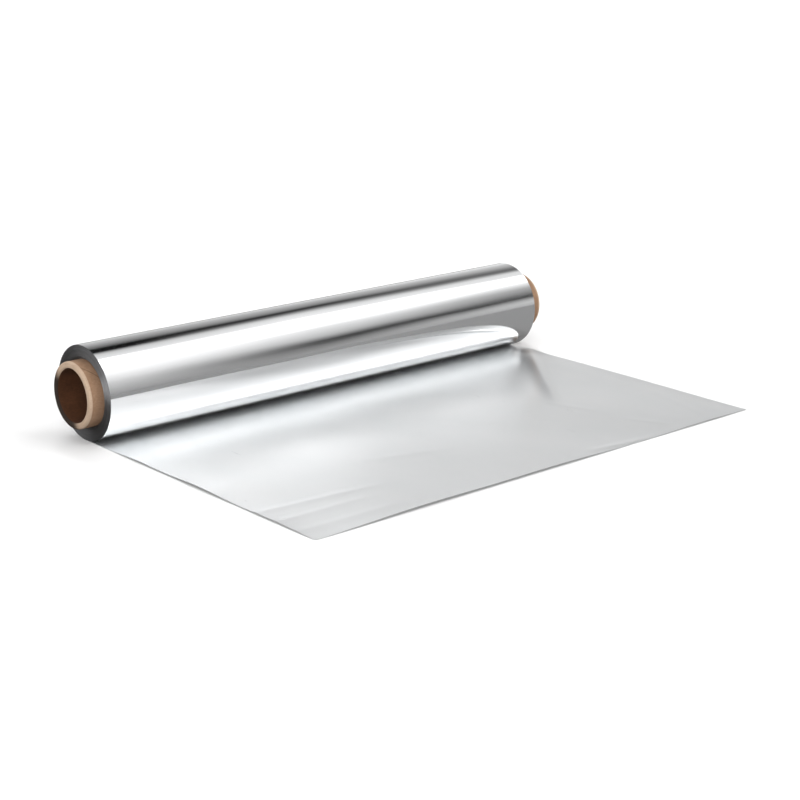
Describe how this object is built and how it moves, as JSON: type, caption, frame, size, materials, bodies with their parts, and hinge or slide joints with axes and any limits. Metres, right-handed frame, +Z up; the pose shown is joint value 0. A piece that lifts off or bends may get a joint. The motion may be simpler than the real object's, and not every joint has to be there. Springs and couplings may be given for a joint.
{
  "type": "aluminium foil roll",
  "caption": "Roll of thin aluminium foil wound on a cardboard tube, with a length of foil pulled out flat in front of it.",
  "frame": {"origin": "on the table, under the roll's axis, midway along the foil", "axes": "+X along the roll's axis towards the end where the tube stands out further, +Z up, the pulled sheet runs towards -Y"},
  "size_m": [0.32, 0.211, 0.0499],
  "materials": {
    "core_board": "spiral-wound kraft board, matt, darker in the bore",
    "foil_metal": "bright rolled side out on the roll, satin side up on the pulled sheet"
  },
  "bodies": {
    "root": {"cardboard_core": "core_board", "foil": "foil_metal"}
  },
  "joints": []
}
